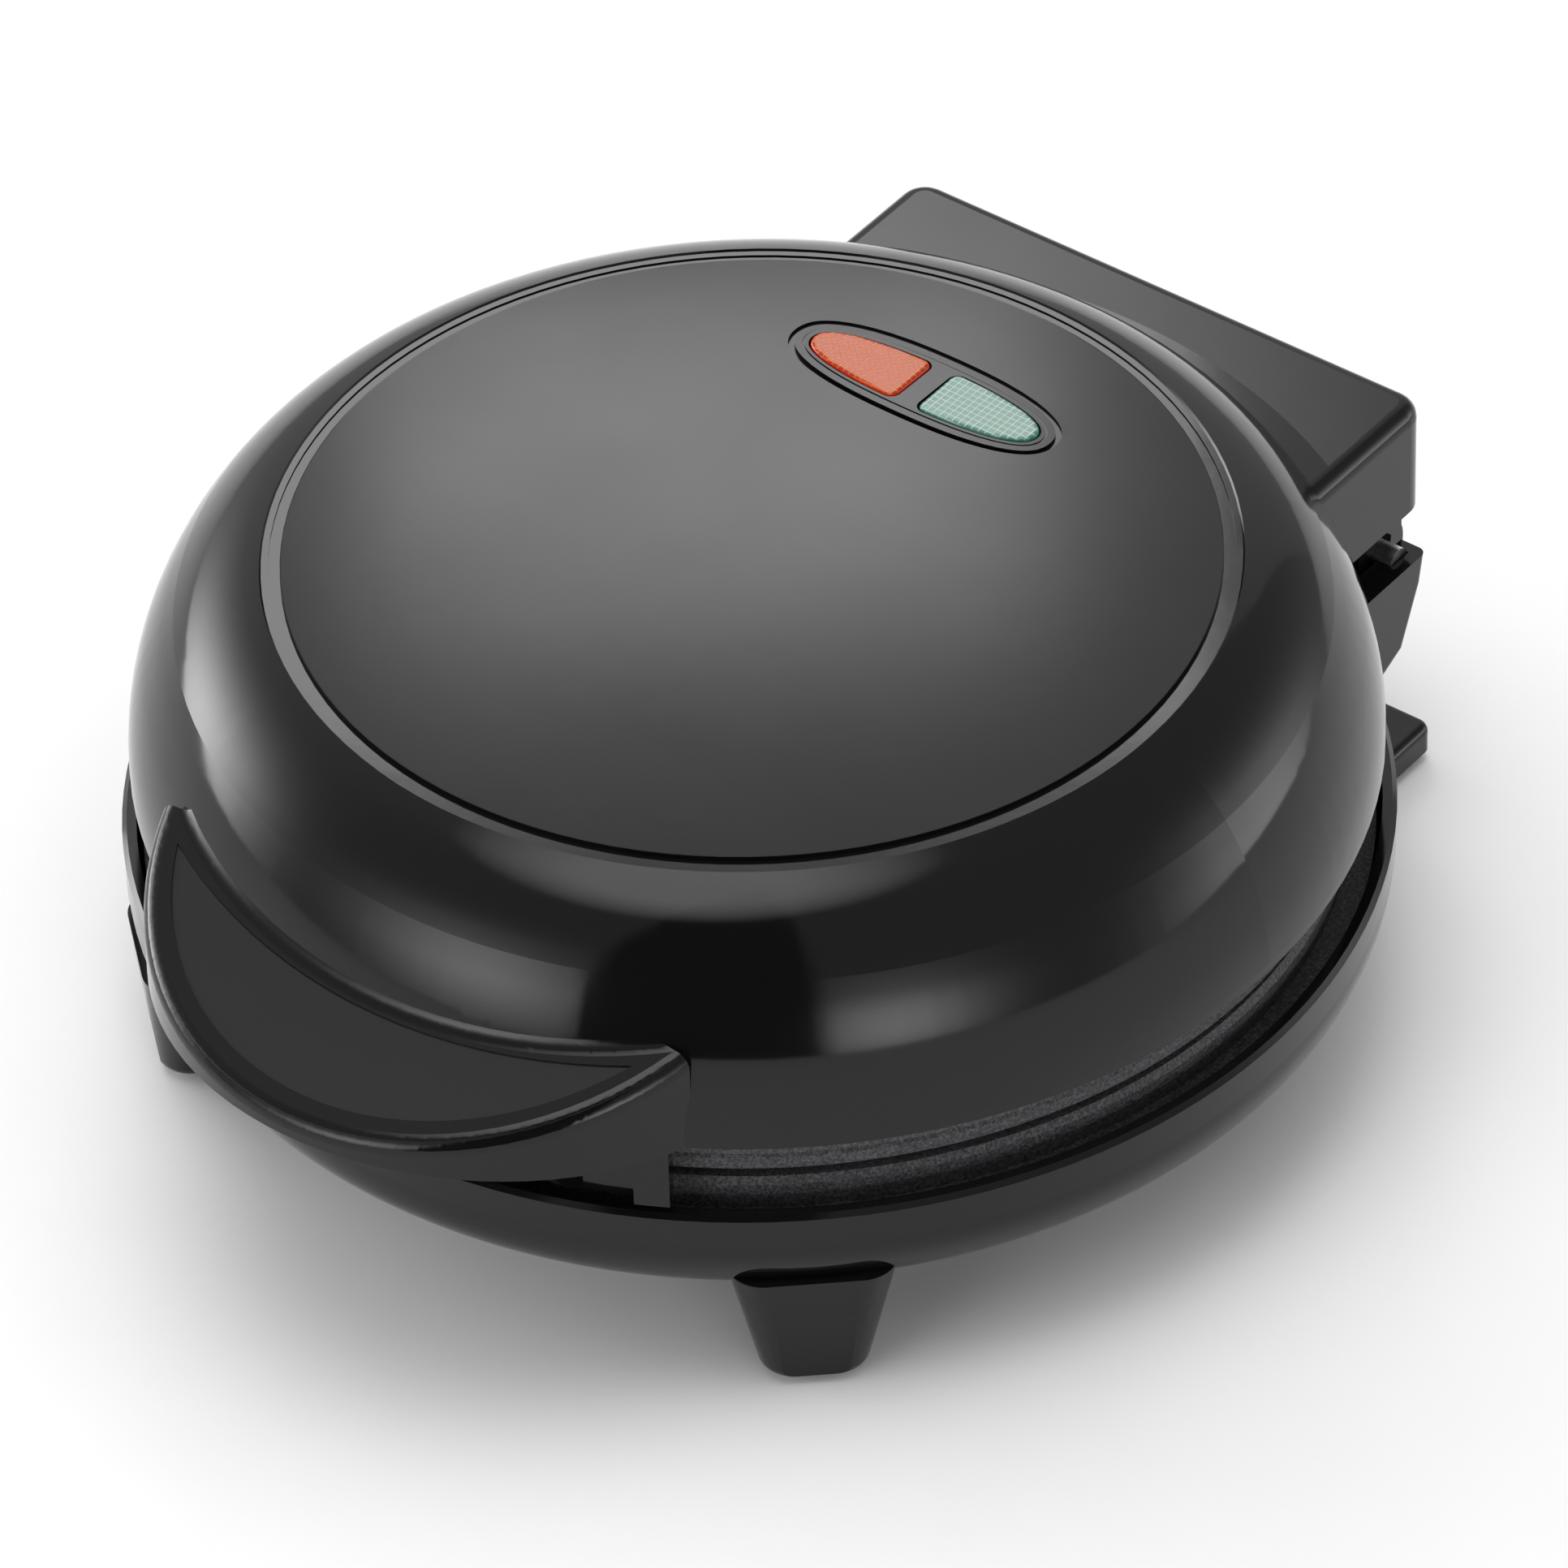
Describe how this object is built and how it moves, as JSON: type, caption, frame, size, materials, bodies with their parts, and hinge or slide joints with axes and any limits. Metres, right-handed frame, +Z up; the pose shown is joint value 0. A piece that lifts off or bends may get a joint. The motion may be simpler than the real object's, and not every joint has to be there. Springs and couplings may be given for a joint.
{
  "type": "omelette maker",
  "caption": "Countertop omelette maker: round domed lid with a moulded crescent handle, hinged at the rear over a base with half-moon cooking plates.",
  "frame": {"origin": "middle of the whole object's footprint, on the surface it stands on", "axes": "+Z up, +Y towards the hinge at the rear, the handle at -Y"},
  "size_m": [0.21, 0.2408, 0.0916],
  "materials": {
    "casing": "polished",
    "plate_coating": "granular non-stick coating",
    "lens_red": "clear tinted",
    "lens_green": "clear tinted",
    "inner_plastic": "moulded",
    "lamp_glass": "clear",
    "heater_steel": "dull",
    "shield_sheet": "bright rolled",
    "screw_steel": "plated",
    "fuse_body": "plated",
    "bracket_steel": "plated",
    "ceramic_body": "glazed",
    "lead_cover": "woven sleeve",
    "pad_rubber": "matt"
  },
  "bodies": {
    "base": {"base_shell": "casing", "foot_pads": "pad_rubber", "cord_gland": "inner_plastic", "hinge_pins": "screw_steel", "lower_plate": "plate_coating", "lower_element": "heater_steel", "lower_heat_shield": "shield_sheet", "base_screws": "screw_steel", "thermostat": "ceramic_body", "thermostat_bracket": "bracket_steel", "terminal_block": "ceramic_body", "lower_thermal_fuse": "fuse_body", "base_leads": "lead_cover"},
    "lid": {"lid_shell": "casing", "lens_power": "lens_red", "lens_ready": "lens_green", "lamp_holder": "inner_plastic", "pilot_lamps": "lamp_glass", "upper_plate": "plate_coating", "upper_element": "heater_steel", "upper_heat_shield": "shield_sheet", "upper_plate_screws": "screw_steel", "lid_post_screws": "screw_steel", "upper_thermal_fuse": "fuse_body", "upper_fuse_clip": "bracket_steel", "lid_leads": "lead_cover"}
  },
  "joints": [
    {"name": "lid_hinge", "type": "hinge", "parent": "base", "child": "lid", "pos_m": [0, 0.11205, 0.041], "axis": [-1, 0, 0], "range_deg": [0, 100]}
  ]
}
